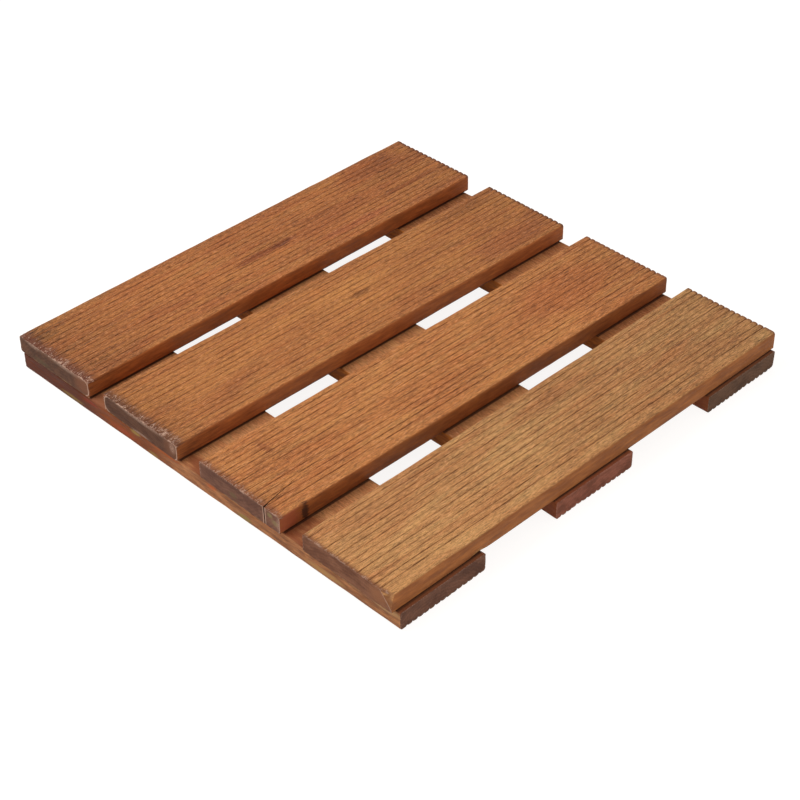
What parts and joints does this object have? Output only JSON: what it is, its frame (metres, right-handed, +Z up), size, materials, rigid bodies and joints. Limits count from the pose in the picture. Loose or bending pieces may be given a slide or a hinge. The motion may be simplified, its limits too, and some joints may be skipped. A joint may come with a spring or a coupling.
{
  "type": "slatted wooden deck tile",
  "caption": "Square duckboard tile of ribbed timber slats stapled across ribbed timber battens, for loose laying as a walkway or terrace.",
  "frame": {"origin": "on the ground, under the middle of the tile's bounding box", "axes": "+X along the deck slats, +Y along the battens, +Z up out of the walking surface"},
  "size_m": [0.5008, 0.5057, 0.038],
  "materials": {
    "slat_1_timber": "red-brown stain",
    "slat_2_timber": "tan-brown stain",
    "slat_3_timber": "orange-brown stain",
    "slat_4_timber": "golden-brown stain",
    "batten_timber": "dark red-brown stain",
    "staple_wire": "galvanised"
  },
  "bodies": {
    "root": {"deck_slat_1": "slat_1_timber", "deck_slat_2": "slat_2_timber", "deck_slat_3": "slat_3_timber", "deck_slat_4": "slat_4_timber", "batten_left": "batten_timber", "batten_middle": "batten_timber", "batten_right": "batten_timber", "staples": "staple_wire"}
  },
  "joints": []
}
